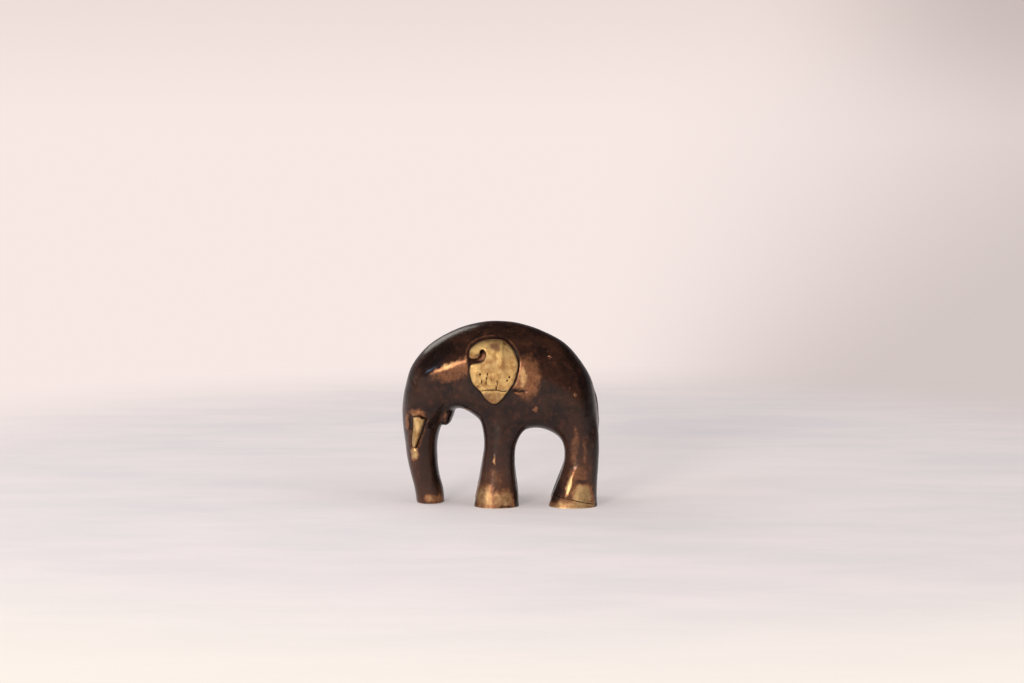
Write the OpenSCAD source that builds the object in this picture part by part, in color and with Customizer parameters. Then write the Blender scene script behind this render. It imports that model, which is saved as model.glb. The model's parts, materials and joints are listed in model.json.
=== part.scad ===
// Small hollow-cast brass elephant, head bowed, trunk reaching down to the ground.
// The casting keeps its clay core and carries inlaid ears, tusks, foot plugs and soles.
// The trunk points along -X, +Z is up, and y = 0 is the plane of symmetry.
// Pieces are drawn for the left side, at -Y, and mirrored for the right.

/* [Figure] */
// Length of the figure from brow to tail
length = 60; // [54:1:72]
// Width across the flanks, without the ears
width = 26.4; // [25.6:0.2:28]

/* [Casting] */
// Thickness of the metal around the core
wall = 2.6; // [2.3:0.1:2.9]
// Diameter of the core holes in the feet
foot_hole_d = 5; // [4:0.5:5.5]
// Diameter of the core hole in the trunk
trunk_hole_d = 3; // [2.4:0.2:3.4]
// Diameter of the pins that held the core in its mould
core_pin_d = 1.2; // [0.8:0.1:1.6]
// Gap between two pieces that fit together
fit_gap = 0.05; // [0.03:0.01:0.1]

/* [Ears] */
// Depth of an ear's seat below the flank
seat_depth = 1.1; // [0.8:0.1:1.3]
// Height of an ear above the flank
ear_relief = 0.9; // [0.6:0.1:1.1]
// Width of the groove around an ear
ear_groove = 0.35; // [0.25:0.05:0.5]
// Gap at the joint between an ear and its lobe
lobe_gap = 0.12; // [0.08:0.02:0.3]
// Diameter of the pegs behind the ears
ear_peg_d = 1.6; // [1.2:0.1:2]

/* [Tusks] */
// Radius of a tusk at its root
tusk_root_r = 0.95; // [0.8:0.05:1.1]
// Radius of a tusk at its tip
tusk_tip_r = 0.6; // [0.4:0.05:0.7]
// Diameter of the peg behind a tusk
tusk_peg_d = 1.2; // [0.8:0.1:1.6]

/* [Soles] */
// Length of the plugs in the front feet and the trunk
plug_h = 2.5; // [2:0.5:4]
// Slope of the seam above the rear soles
seam_angle = 12.8; // [8:0.2:14]
// Height of the seam gap
seam_gap = 0.15; // [0.1:0.05:0.3]

/* [Hidden] */
$fn = 48;

// All outline points below are for a figure 60 mm long and scale with its length.
size = length / 60;
half_width = width / 2;
body_sides = 32;
leg_sides = 20;
core_sides = 20;
body_roundness = 2.5;
core_roundness = 2.4;
leg_roundness = 2.5;

// Sections of trunk, head and body, in order from the trunk's tip to the rump:
// [x and z on the outer curve, x and z on the inner curve, share of the half width,
// roundness of the inner half].
BODY = [
    [-25.8, 0.2, -17.3, 0.2, 0.43, 3],
    [-26.4, 4.4, -17.6, 4, 0.42, 2.8],
    [-27.6, 8.9, -18.7, 8.4, 0.44, 2.6],
    [-28.6, 13.9, -19.3, 13.1, 0.48, 2.6],
    [-29.2, 18.9, -19.3, 18.3, 0.54, 2.6],
    [-29.8, 23.9, -18.2, 23.1, 0.62, 2.8],
    [-30, 28.9, -16, 26.9, 0.71, 3],
    [-29.2, 34.9, -13.8, 28.8, 0.8, 3.2],
    [-27, 41.9, -12, 29.2, 0.87, 3.5],
    [-22, 47.9, -10.4, 28.7, 0.93, 3.8],
    [-15, 52.2, -8.2, 27.3, 0.97, 4],
    [-8, 54.6, -5, 24.9, 0.99, 4],
    [-1, 55.4, -1, 23.5, 1, 4],
    [6, 54.6, 3, 22.9, 1, 4],
    [13, 52.2, 7, 22.9, 1, 4],
    [19, 48.9, 11, 23.3, 1, 4],
    [23.8, 43.9, 14, 22.6, 0.99, 4],
    [27.3, 38.2, 16.6, 21.1, 0.97, 3.8],
    [29, 31.9, 18.3, 19.5, 0.94, 3.5],
    [29.7, 25.9, 19.3, 17.7, 0.9, 3],
    [29.3, 20.5, 20.6, 16.3, 0.76, 2.6],
    [27.9, 17.1, 22.6, 15.5, 0.5, 2.4],
];
FIRST_HOLLOW = 4;
LAST_HOLLOW = 18;

// Sections of a leg: [height, front x, rear x, inner y, outer y].
FRONT_LEG = [
    [0, -8.1, 5.5, 1.7, 13.1],
    [4, -7.25, 5.15, 1.8, 12.8],
    [8, -6.5, 4.6, 1.9, 12.4],
    [13, -5.65, 4.3, 2, 12.1],
    [17.5, -5.1, 4.45, 1.9, 12.1],
    [21, -5.2, 5.8, 1.7, 12.1],
    [23.6, -5.7, 7.3, 1.5, 11.8],
    [27, -6.2, 6.8, 1.8, 11.2],
    [31, -5, 5.5, 2.5, 10.4],
    [34, -4, 4, 4, 9],
];
REAR_LEG = [
    [0, 14.5, 29.2, 1.7, 13.1],
    [3, 15.4, 29.1, 1.8, 12.9],
    [7, 17, 29.2, 1.9, 12.5],
    [11, 18.4, 29.4, 2, 12.2],
    [14.5, 19.2, 29.6, 2, 12],
    [17.5, 19.1, 29.8, 1.9, 12],
    [20.8, 17.9, 29.8, 1.7, 12],
    [23.4, 15.4, 29.5, 1.6, 11.8],
    [27, 15.5, 28.5, 1.8, 11.2],
    [31, 17, 26.2, 2.6, 10.2],
    [34, 18.5, 24, 4, 8.5],
];

// Sections of the tail relief: [x and z on the rump, half width, height proud].
TAIL = [
    [26.6, 38.4, 0.9, 0.2],
    [28.7, 32.4, 1.1, 0.6],
    [29.4, 26.4, 1.1, 0.7],
    [29.2, 21.4, 1.2, 0.8],
    [28.8, 18.7, 1.8, 1],
    [28.3, 15.7, 1.5, 0.9],
    [28, 13.7, 0.5, 0.4],
];
TAIL_DEPTH = 1.2;

// Balls that the lower lip is drawn over: [x, z, radius], and their spread in y.
LIP = [[-16.7, 26, 1.6], [-16.6, 29, 2.4]];
LIP_SPREAD = 4.6;

// Outline of ear and lobe together, the comma-shaped slot, and the joint line.
EAR = [
    [-1.9, 50.8], [0.9, 50.4], [3.1, 48.6], [4.6, 46.2], [5.25, 43.3], [4.7, 40.4],
    [3.8, 37.8], [2.2, 35.6], [0.85, 33.5], [-0.9, 31.9], [-2.6, 31.7], [-4.5, 33.1],
    [-6.2, 35.4], [-8.1, 37.4], [-9.1, 40], [-9.3, 43], [-9.35, 46.2], [-8.6, 48.5],
    [-6.5, 49.9], [-4.3, 50.6],
];
SLOT = [
    [-11, 45.2], [-8.2, 45.1], [-7, 45.4], [-6.3, 46.2], [-6.2, 47.2], [-5.8, 47.9],
    [-5.1, 48], [-4.3, 47.3], [-4.05, 46.5], [-4.4, 45.2], [-5.2, 44.2], [-6.4, 43.85],
    [-8.2, 43.65], [-11, 43.2],
];
JOINT = [[-8, 35.4], [-1.5, 35.8], [0.6, 35.4], [4, 35]];
EAR_CENTRE = [-2, 38];
EAR_PEGS = [[-5, 39.5], [1.5, 44.5]];
LOBE_PEG = [-1.8, 33.8];
lobe_step = 0.8;
JOINT_LOW = 28;
flank_start = 6;
flank_reach = 14;
ear_barrel_r = 24 * size;
ear_barrel_l = 40 * size;
ear_face = half_width * 0.99 + ear_relief;
ear_yaw = 2;
ear_peg_l = 2.4;

// The two root points and the tip of a tusk: [x, y, z], and its peg.
TUSK_ROOT = [[-25.5, -8, 26.3], [-23.7, -8.1, 26.2]];
TUSK_TIP = [-26.2, -6.9, 18.5];
TUSK_PEG = [-25, -8, 24.5];
tusk_peg_l = 2.3;

FRONT_HOLE = [-0.8, -7.2];
REAR_HOLE = [24.2, -7.2];
TRUNK_HOLE = [-21.5, 0.2];
trunk_hole_lean = 7.7;
TRUNK_HOLE_TOP = 22;
LEG_HOLE_TOP = 30;
SEAM_POINT = [17.9, 3.4];
WEDGE = [30, 40, 12];
rear_stub_low = 0.3;
rear_stub_h = 6.5;

// Core pins: [x, z, depth from the middle plane to the pin's inner end].
pin_reach = 16;
CORE_PINS = [[14.8, 45.5, 8.6], [22.3, 34.3, 8.8], [10.5, 29.6, 7]];

// Smooth curves through control points of any number of values.
function clamped(p, i) = p[min(max(i, 0), len(p) - 1)];
function between(a, b, c, d, t) =
    (2 * b + (c - a) * t + (2 * a - 5 * b + 4 * c - d) * t * t
     + (3 * b - a - 3 * c + d) * t * t * t) / 2;
function open_curve(p, steps) = [
    for (i = [0 : len(p) - 2], k = [0 : steps - 1])
        between(clamped(p, i - 1), p[i], p[i + 1], clamped(p, i + 2), k / steps),
    p[len(p) - 1]
];
function closed_curve(p, steps) = let (n = len(p)) [
    for (i = [0 : n - 1], k = [0 : steps - 1])
        between(p[(i + n - 1) % n], p[i], p[(i + 1) % n], p[(i + 2) % n], k / steps)
];

// A superellipse of unit half axes: roundness 2 is an ellipse, more is squarer.
function superellipse(angle, roundness) = [
    sign(cos(angle)) * pow(abs(cos(angle)), 2 / roundness),
    sign(sin(angle)) * pow(abs(sin(angle)), 2 / roundness)
];
// A ring of points around centre, with its own roundness towards +u and -u.
function ring(centre, u, v, roundness, far_roundness, sides) = [
    for (k = [0 : sides - 1])
        let (
            angle = (k + 0.5) * 360 / sides,
            s = superellipse(angle, cos(angle) > 0 ? roundness : far_roundness)
        )
        centre + u * s[0] + v * s[1]
];

// A closed solid through rings of equally many points.
module loft(rings) {
    sides = len(rings[0]);
    last = len(rings) - 1;
    points = [for (r = rings, p = r) p];
    walls = [
        for (i = [0 : last - 1], k = [0 : sides - 1])
            let (a = i * sides + k, b = i * sides + (k + 1) % sides)
            each [[a, b, b + sides], [a, b + sides, a + sides]]
    ];
    start_cap = [[for (k = [sides - 1 : -1 : 0]) k]];
    end_cap = [[for (k = [0 : sides - 1]) last * sides + k]];
    polyhedron(points, concat(walls, start_cap, end_cap), convexity = 6);
}

// One section of the body, its skin moved inwards by inset.
function body_section(s, inset, roundness, far_roundness, sides) =
    let (
        outer = [s[0], 0, s[1]] * size,
        inner = [s[2], 0, s[3]] * size,
        half = (outer - inner) / 2,
        reach = norm(half)
    )
    ring((outer + inner) / 2, half * (reach - inset) / reach,
         [0, s[4] * half_width - inset, 0], roundness, far_roundness, sides);

function leg_ring(s) = ring(
    [(s[1] + s[2]) / 2, -(s[3] + s[4]) / 2, s[0]] * size,
    [(s[2] - s[1]) / 2, 0, 0] * size,
    [0, (s[3] - s[4]) / 2, 0] * size,
    leg_roundness, leg_roundness, leg_sides
);

function tail_ring(s) = ring(
    [s[0] + (s[3] - TAIL_DEPTH) / 2, 0, s[1]] * size,
    [(s[3] + TAIL_DEPTH) / 2, 0, 0] * size,
    [0, -s[2], 0] * size,
    2, 2, 12
);

module both_sides() {
    children();
    mirror([0, 1, 0]) children();
}

module trunk_and_body() {
    loft([
        for (s = open_curve(BODY, 2)) body_section(s, 0, body_roundness, s[5], body_sides)
    ]);
}

// The hollow inside the casting, or a core that clears it by extra.
module hollow(extra) {
    sections = [for (i = [FIRST_HOLLOW : LAST_HOLLOW]) BODY[i]];
    loft([
        for (s = open_curve(sections, 2))
            body_section(s, wall + extra, core_roundness, core_roundness, core_sides)
    ]);
}

module leg(sections) {
    loft([for (s = open_curve(sections, 2)) leg_ring(s)]);
}

module tail() {
    loft([for (s = open_curve(TAIL, 2)) tail_ring(s)]);
}

// The lower lip, tucked behind the root of the trunk.
module lower_lip() {
    hull() {
        for (ball = LIP, y = [-LIP_SPREAD, LIP_SPREAD])
            translate([ball[0], y, ball[1]] * size) sphere(r = ball[2] * size, $fn = 16);
    }
}

// A rod up from the ground at a foot.
module foot_rod(place, d, low, high) {
    translate([place[0] * size, place[1] * size, low]) cylinder(d = d, h = high - low);
}

module trunk_rod(d, low, high) {
    translate([TRUNK_HOLE[0], 0, TRUNK_HOLE[1]] * size)
        rotate([0, -trunk_hole_lean, 0])
            translate([0, 0, low]) cylinder(d = d, h = high - low);
}

// The space below the seam above the rear soles, lowered by drop.
module below_seam(drop) {
    translate([SEAM_POINT[0] * size, 0, SEAM_POINT[1] * size - drop])
        rotate([0, seam_angle, 0])
            translate([-WEDGE[0] / 3, -WEDGE[1] / 2, -WEDGE[2]] * size) cube(WEDGE * size);
}

// An extruded outline that reaches out through the left flank.
module flank_prism() {
    rotate([90, 0, 0]) translate([0, 0, flank_start * size])
        linear_extrude(height = flank_reach * size)
        children();
}

// A barrel lying along the body whose side is the face of an ear.
module ear_barrel(sunk) {
    translate([EAR_CENTRE[0] * size, ear_barrel_r - ear_face, EAR_CENTRE[1] * size])
        rotate([0, 0, ear_yaw]) rotate([0, 90, 0])
            cylinder(r = ear_barrel_r - sunk, h = ear_barrel_l, center = true, $fn = 96);
}

module ear_outline() {
    polygon(closed_curve(EAR, 3) * size);
}

module slot_outline() {
    polygon(closed_curve(SLOT, 3) * size);
}

// The part of the ear's plane below the joint line, moved up by lift.
module below_joint(lift) {
    translate([0, lift])
        polygon(concat(
            [[JOINT[0][0] - 4, JOINT_LOW] * size],
            JOINT * size,
            [[JOINT[3][0] + 4, JOINT_LOW] * size]
        ));
}

module flank_rod(place, d, low, high) {
    translate([place[0] * size, 0, place[1] * size]) rotate([90, 0, 0])
        translate([0, 0, low]) cylinder(d = d, h = high - low, $fn = 32);
}

// Pegs behind the ear, from inside the ear down through the wall.
module ear_pegs(gap) {
    top = ear_face - seat_depth;
    for (place = EAR_PEGS)
        flank_rod(place, ear_peg_d + gap, top - ear_relief - ear_peg_l - gap, top);
}

module lobe_peg(gap) {
    seat = ear_face - ear_relief - seat_depth;
    flank_rod(LOBE_PEG, ear_peg_d + gap,
        seat - lobe_step - ear_peg_l - gap, seat + ear_relief / 2);
}

module ear_seat() {
    difference() {
        flank_prism() offset(r = ear_groove) ear_outline();
        ear_barrel(ear_relief + seat_depth);
    }
}

module ear_piece() {
    difference() {
        intersection() {
            flank_prism() children();
            ear_barrel(0);
        }
        ear_barrel(ear_relief + seat_depth);
    }
}

// A tusk with its skin moved outwards by grow.
module tusk_blank(grow) {
    hull() {
        for (place = TUSK_ROOT)
            translate(place * size) sphere(r = tusk_root_r * size + grow, $fn = 16);
        translate(TUSK_TIP * size) sphere(r = tusk_tip_r * size + grow, $fn = 16);
    }
}

module tusk_peg(gap) {
    translate([TUSK_PEG[0], TUSK_PEG[1] + tusk_peg_l, TUSK_PEG[2]] * size)
        rotate([90, 0, 0]) cylinder(d = tusk_peg_d + gap, h = tusk_peg_l * size, $fn = 32);
}

module core_pin_rods(gap) {
    for (pin = CORE_PINS)
        flank_rod(pin, core_pin_d + gap, pin[2] * size - gap, pin_reach * size);
}

module body_casting() color("saddlebrown") difference() {
    union() {
        trunk_and_body();
        lower_lip();
        tail();
        both_sides() {
            leg(FRONT_LEG);
            leg(REAR_LEG);
        }
    }
    hollow(0);
    below_seam(0);
    trunk_rod(trunk_hole_d, -1, TRUNK_HOLE_TOP * size);
    both_sides() {
        foot_rod(FRONT_HOLE, foot_hole_d, -1, LEG_HOLE_TOP * size);
        foot_rod(REAR_HOLE, foot_hole_d, -1, LEG_HOLE_TOP * size);
        ear_seat();
        ear_pegs(fit_gap);
        lobe_peg(fit_gap);
        tusk_blank(fit_gap);
        tusk_peg(fit_gap);
        core_pin_rods(fit_gap);
    }
}

module casting_core() color("tan") difference() {
    union() {
        hollow(fit_gap);
        trunk_rod(trunk_hole_d - fit_gap, plug_h + fit_gap, TRUNK_HOLE_TOP * size);
        both_sides() {
            foot_rod(FRONT_HOLE, foot_hole_d - fit_gap, plug_h + fit_gap,
                     LEG_HOLE_TOP * size);
            foot_rod(REAR_HOLE, foot_hole_d - fit_gap, rear_stub_h + fit_gap,
                     LEG_HOLE_TOP * size);
        }
    }
    both_sides() {
        ear_pegs(fit_gap);
        lobe_peg(fit_gap);
        core_pin_rods(fit_gap);
    }
}

module ear() color("gold") union() {
    ear_piece() difference() {
        ear_outline();
        slot_outline();
        below_joint(lobe_gap / 2);
    }
    ear_pegs(0);
}

module ear_lobe() color("gold") union() {
    ear_piece() intersection() {
        ear_outline();
        below_joint(-lobe_gap / 2);
    }
    lobe_peg(0);
}

module tusk() color("khaki") union() {
    tusk_blank(0);
    tusk_peg(0);
}

module trunk_tip_plug() color("goldenrod")
    trunk_rod(trunk_hole_d - fit_gap, 0, plug_h);

module front_sole_plug() color("goldenrod")
    foot_rod(FRONT_HOLE, foot_hole_d - fit_gap, 0, plug_h);

module rear_sole() color("goldenrod") union() {
    intersection() {
        leg(REAR_LEG);
        below_seam(seam_gap);
    }
    foot_rod(REAR_HOLE, foot_hole_d - fit_gap, rear_stub_low, rear_stub_h);
}

module core_pins() color("peru") both_sides() intersection() {
    trunk_and_body();
    core_pin_rods(0);
}

module right_side() {
    mirror([0, 1, 0]) children();
}

body_casting();
casting_core();
ear();  // left_ear
right_side() ear();  // right_ear
ear_lobe();  // left_ear_lobe
right_side() ear_lobe();  // right_ear_lobe
tusk();  // left_tusk
right_side() tusk();  // right_tusk
trunk_tip_plug();
front_sole_plug();  // front_left_sole_plug
right_side() front_sole_plug();  // front_right_sole_plug
rear_sole();  // rear_left_sole
right_side() rear_sole();  // rear_right_sole
core_pins();
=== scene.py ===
"""Looks for a small hollow-cast brass elephant with a dark patina and polished ears.

The lists of points and places are millimetres in the part's frame. MM turns them into metres.
Each shape and each mark is made on both sides of the middle plane, y = 0. The trunk is
towards -x, the near flank is towards -y, and the feet stand on z = 0.
"""
import json
import math

import bmesh
import bpy
import numpy as np
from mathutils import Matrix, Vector, noise
from mathutils.bvhtree import BVHTree
from mathutils.geometry import delaunay_2d_cdt

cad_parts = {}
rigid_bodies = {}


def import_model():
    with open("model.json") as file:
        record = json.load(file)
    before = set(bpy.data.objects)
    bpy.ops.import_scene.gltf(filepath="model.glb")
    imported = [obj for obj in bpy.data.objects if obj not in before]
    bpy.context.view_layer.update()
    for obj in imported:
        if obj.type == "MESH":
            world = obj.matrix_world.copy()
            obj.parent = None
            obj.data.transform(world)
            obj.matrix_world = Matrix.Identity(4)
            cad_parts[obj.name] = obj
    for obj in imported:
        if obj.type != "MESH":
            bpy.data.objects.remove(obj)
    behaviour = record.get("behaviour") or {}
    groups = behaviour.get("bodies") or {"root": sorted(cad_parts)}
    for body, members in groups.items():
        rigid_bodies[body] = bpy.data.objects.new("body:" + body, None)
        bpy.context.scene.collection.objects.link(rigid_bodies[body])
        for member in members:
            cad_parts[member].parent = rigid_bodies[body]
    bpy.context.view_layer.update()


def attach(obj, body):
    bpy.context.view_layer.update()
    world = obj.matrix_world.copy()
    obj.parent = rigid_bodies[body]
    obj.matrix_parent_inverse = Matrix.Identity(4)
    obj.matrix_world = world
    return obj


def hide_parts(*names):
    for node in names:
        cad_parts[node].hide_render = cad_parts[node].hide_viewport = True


MM = 0.001
ROOT = "root"
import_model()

# Noise vectors are read from places drawn with this seed, so each run wears the same spots.
NOISE_SEED = 7
noise.seed_set(NOISE_SEED)

# ---------------------------------------------------------------- shape lists

# Trunk, head and body: outer x and z, inner x and z, share of the half width,
# roundness of the inner half.
BODY = [
    (-25.5, -3, -17, -3, 0.44, 2.2),
    (-25.8, 0.2, -17.3, 0.2, 0.43, 2.2),
    (-26.4, 4.4, -17.6, 4, 0.42, 2.2),
    (-27.6, 8.9, -18.7, 8.4, 0.44, 2.1),
    (-28.6, 13.9, -19.3, 13.1, 0.48, 2.1),
    (-29.2, 18.9, -19.3, 18.3, 0.54, 2.1),
    (-29.8, 23.9, -18.2, 23.1, 0.62, 2.2),
    (-30, 28.9, -16, 26.9, 0.71, 2.4),
    (-29.2, 34.9, -13.8, 28.8, 0.8, 2.7),
    (-27, 41.9, -12, 29.2, 0.87, 3),
    (-22, 47.9, -10.4, 28.7, 0.93, 3.4),
    (-15, 52.2, -8.2, 27.3, 0.97, 3.6),
    (-8, 54.6, -5, 24.9, 0.99, 3.8),
    (-1, 55.4, -1, 23.5, 1, 3.8),
    (6, 54.6, 3, 22.9, 1, 3.8),
    (13, 52.2, 7, 22.9, 1, 3.8),
    (19, 48.9, 11, 23.3, 1, 3.6),
    (23.8, 43.9, 14, 22.6, 0.99, 3.4),
    (27.3, 38.2, 16.6, 21.1, 0.97, 3.2),
    (29, 31.9, 18.3, 19.5, 0.94, 3),
    (29.7, 25.9, 19.3, 17.7, 0.9, 2.6),
    (29.3, 20.5, 20.6, 16.3, 0.76, 2.4),
    (27.9, 17.1, 22.6, 15.5, 0.5, 2.2),
]
HALF_WIDTH = 13.2
BODY_ROUNDNESS = 2.25
BODY_SIDES = 128

# Legs: height, front x, rear x, inner y, outer y.
FRONT_LEG = [
    (-3, -8.7, 5.8, 1.6, 13.3),
    (0, -8.1, 5.5, 1.7, 13.1),
    (4, -7.25, 5.15, 1.8, 12.8),
    (8, -6.5, 4.6, 1.9, 12.4),
    (13, -5.65, 4.3, 2, 12.1),
    (17.5, -5.1, 4.45, 1.9, 12.1),
    (21, -5.2, 5.8, 1.7, 12.1),
    (23.6, -5.7, 7.3, 1.5, 11.9),
    (27, -6.2, 6.8, 1.8, 11.6),
    (31, -5, 5.5, 2.5, 11.2),
    (34, -4, 4, 4, 10),
]
REAR_LEG = [
    (-3, 13.8, 29.2, 1.6, 13.3),
    (0, 14.5, 29.2, 1.7, 13.1),
    (3, 15.4, 29.1, 1.8, 12.9),
    (7, 17, 29.2, 1.9, 12.5),
    (11, 18.4, 29.4, 2, 12.2),
    (14.5, 19.2, 29.6, 2, 12),
    (17.5, 19.1, 29.8, 1.9, 12),
    (20.8, 17.9, 29.8, 1.7, 12),
    (23.4, 15.4, 29.5, 1.6, 11.9),
    (27, 15.5, 28.7, 1.8, 11.6),
    (31, 17, 27, 2.6, 11),
    (35, 18.5, 25, 4, 10),
]
LEG_ROUNDNESS = 2.25
LEG_SIDES = 72
FAR_REAR_LEG_SLIMMER = 0.8

# Tail relief: x and z on the rump, half width, height proud.
TAIL = [
    (26.6, 38.4, 1.0, 0.2),
    (28.7, 32.4, 1.3, 0.6),
    (29.4, 26.4, 1.3, 0.6),
    (29.2, 21.4, 1.5, 0.7),
    (28.8, 18.7, 2.2, 1),
    (28.3, 15.7, 1.9, 0.9),
    (28, 13.7, 0.7, 0.5),
]
TAIL_DEPTH = 1.2
TAIL_SIDES = 24

# Lower lip: x, z and radius of the balls that it is drawn over, and their spread in y.
LIP = [(-16.6, 28.8, 2.7), (-16.6, 27.2, 2.5), (-16.8, 26, 2.1)]
LIP_SPREAD = 4.6
LIP_ROUNDNESS = 2.2
LIP_SIDES = 32

# Outlines seen from the side; a point given twice is a sharp corner.
EAR_OUTLINE = [
    (-1.9, 50.8), (0.9, 50.4), (3.1, 48.6), (4.6, 46.2), (5.25, 43.3), (4.7, 40.4),
    (3.8, 37.8), (2.2, 35.6), (0.85, 33.5), (-0.9, 31.9), (-2.6, 31.7), (-4.5, 33.1),
    (-6.2, 35.4), (-8.1, 37.4), (-9.1, 40), (-9.3, 43), (-9.35, 46.2), (-8.6, 48.5),
    (-6.5, 49.9), (-4.3, 50.6),
]
EAR_PLATE = [
    (-1.9, 50.8), (0.9, 50.4), (3.1, 48.6), (4.6, 46.2), (5.25, 43.3), (4.7, 40.4),
    (3.8, 37.8), (2.35, 35.75), (2.35, 35.75), (0.6, 35.5), (-1.5, 35.95),
    (-6.1, 35.6), (-6.1, 35.6), (-8.1, 37.4), (-9.1, 40), (-9.3, 42), (-9, 43.2),
    (-8.2, 43.75), (-6.4, 44), (-5.4, 44.4), (-4.7, 45.3), (-4.45, 46.4),
    (-4.7, 47.3), (-5.25, 47.8), (-5.8, 47.7), (-6.15, 47.1), (-6.25, 46.2), (-6.9, 45.4),
    (-8.2, 45.1), (-9.1, 45.4), (-9.4, 46.3), (-9.2, 47.6), (-8.5, 48.6),
    (-6.5, 49.9), (-4.3, 50.6),
]
EAR_LOBE = [
    (2.2, 35.62), (2.2, 35.62), (0.85, 33.5), (-0.9, 31.9), (-2.6, 31.7),
    (-4.5, 33.1), (-6.05, 35.45), (-6.05, 35.45), (-1.5, 35.82), (0.6, 35.37),
]
TUSK_OUTLINE = [
    (-26.35, 27.1), (-26.35, 27.1), (-24.6, 27.35), (-22.8, 26.5), (-22.8, 26.1),
    (-23.9, 22.6), (-25.5, 18.1), (-26.1, 17.5), (-26.7, 17.7), (-26.9, 19.8),
    (-26.5, 23),
]

# ---------------------------------------------------------------- curves and rings


def catmull(a, b, c, d, t):
    """The point at t between b and c of a smooth curve through all four."""
    return 0.5 * (2 * b + (c - a) * t + (2 * a - 5 * b + 4 * c - d) * t * t
                  + (3 * b - a - 3 * c + d) * t ** 3)


def open_curve(points, steps):
    p = np.array(points, float)
    last = len(p) - 1
    out = [
        catmull(p[max(i - 1, 0)], p[i], p[i + 1], p[min(i + 2, last)], k / steps)
        for i in range(last)
        for k in range(steps)
    ]
    return np.array(out + [p[last]])


def closed_curve(points, steps):
    p = np.array(points, float)
    n = len(p)
    out = []
    for i in range(n):
        a, b, c, d = p[i - 1], p[i], p[(i + 1) % n], p[(i + 2) % n]
        if np.allclose(b, c):
            continue
        a = b if np.allclose(a, b) else a
        d = c if np.allclose(c, d) else d
        out += [catmull(a, b, c, d, k / steps) for k in range(steps)]
    return np.array(out)


def even_loop(points, spacing):
    """The closed loop through points, with its points a spacing apart."""
    loop = closed_curve(points, 24)
    closed = np.vstack([loop, loop[:1]])
    run = np.concatenate([[0], np.cumsum(np.linalg.norm(np.diff(closed, axis=0), axis=1))])
    count = int(run[-1] / spacing)
    at = np.linspace(0, run[-1], count, endpoint=False)
    return np.stack([np.interp(at, run, closed[:, k]) for k in range(2)], axis=1)


def ring(centre, u, v, roundness, far_roundness, sides):
    angle = (np.arange(sides) + 0.5) * 2 * math.pi / sides
    c, s = np.cos(angle), np.sin(angle)
    power = 2 / np.where(c > 0, roundness, far_roundness)
    a = np.sign(c) * np.abs(c) ** power
    b = np.sign(s) * np.abs(s) ** power
    return centre + np.outer(a, u) + np.outer(b, v)


def loft(rings):
    """Vertices and faces of the closed skin through rings of equally many points."""
    sides = len(rings[0])
    verts = np.vstack(rings)
    faces = [tuple(range(sides - 1, -1, -1))]
    for i in range(len(rings) - 1):
        for k in range(sides):
            a, b = i * sides + k, i * sides + (k + 1) % sides
            faces.append((a, b, b + sides, a + sides))
    faces.append(tuple((len(rings) - 1) * sides + k for k in range(sides)))
    return verts, faces


def body_ring(s):
    outer, inner = np.array((s[0], 0, s[1])), np.array((s[2], 0, s[3]))
    return ring((outer + inner) / 2, (outer - inner) / 2, np.array((0, s[4] * HALF_WIDTH, 0)),
                BODY_ROUNDNESS, s[5], BODY_SIDES)


def leg_ring(s, side):
    """A level ring of a leg."""
    z, front, rear, inner, outer = s
    if side > 0 and front > 10:
        front += FAR_REAR_LEG_SLIMMER
    centre = np.array(((front + rear) / 2, side * (inner + outer) / 2, z))
    return ring(centre, np.array(((rear - front) / 2, 0, 0)),
                np.array((0, (outer - inner) / 2, 0)), LEG_ROUNDNESS, LEG_ROUNDNESS, LEG_SIDES)


def tail_ring(s):
    x, z, half_width, proud = s
    centre = np.array((x + (proud - TAIL_DEPTH) / 2, 0, z))
    return ring(centre, np.array(((proud + TAIL_DEPTH) / 2, 0, 0)),
                np.array((0, half_width, 0)), 2, 2, TAIL_SIDES)


def lip_ring(s):
    x, z, radius = s
    return ring(np.array((x, 0, z)), np.array((radius, 0, 0)),
                np.array((0, radius + LIP_SPREAD, 0)), LIP_ROUNDNESS, LIP_ROUNDNESS, LIP_SIDES)


def lip_sections():
    """The lip's balls in a row, and a round tip below the last one."""
    x, z, radius = LIP[-1]
    tip = [(x, z - radius * math.sin(a), radius * math.cos(a))
           for a in np.linspace(0.2, 1.5, 6)]
    return open_curve(LIP, 4).tolist() + tip


# ---------------------------------------------------------------- meshes


def new_object(name, verts, faces):
    mesh = bpy.data.meshes.new(name)
    mesh.from_pydata([tuple(v) for v in np.asarray(verts) * MM], [], faces)
    mesh.update()
    obj = bpy.data.objects.new(name, mesh)
    bpy.context.scene.collection.objects.link(obj)
    face_outwards(obj)
    return obj


def face_outwards(obj):
    bm = bmesh.new()
    bm.from_mesh(obj.data)
    bmesh.ops.recalc_face_normals(bm, faces=bm.faces)
    bm.to_mesh(obj.data)
    bm.free()


def apply_modifiers(obj):
    bpy.context.view_layer.update()
    graph = bpy.context.evaluated_depsgraph_get()
    mesh = bpy.data.meshes.new_from_object(obj.evaluated_get(graph), depsgraph=graph)
    obj.modifiers.clear()
    old = obj.data
    obj.data = mesh
    bpy.data.meshes.remove(old)
    mesh.name = obj.name


def boolean(obj, tool, operation="DIFFERENCE"):
    """Cuts obj with tool, which is used up."""
    change = obj.modifiers.new("cut", "BOOLEAN")
    change.operation = operation
    change.solver = "MANIFOLD"
    change.object = tool
    apply_modifiers(obj)
    bpy.data.objects.remove(tool)


def copy_of(obj, name):
    twin = bpy.data.objects.new(name, obj.data.copy())
    bpy.context.scene.collection.objects.link(twin)
    return twin


def coordinates(obj):
    co = np.empty(len(obj.data.vertices) * 3)
    obj.data.vertices.foreach_get("co", co)
    return co.reshape(-1, 3) / MM


def set_coordinates(obj, co):
    obj.data.vertices.foreach_set("co", (co * MM).ravel())
    obj.data.update()


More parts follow.
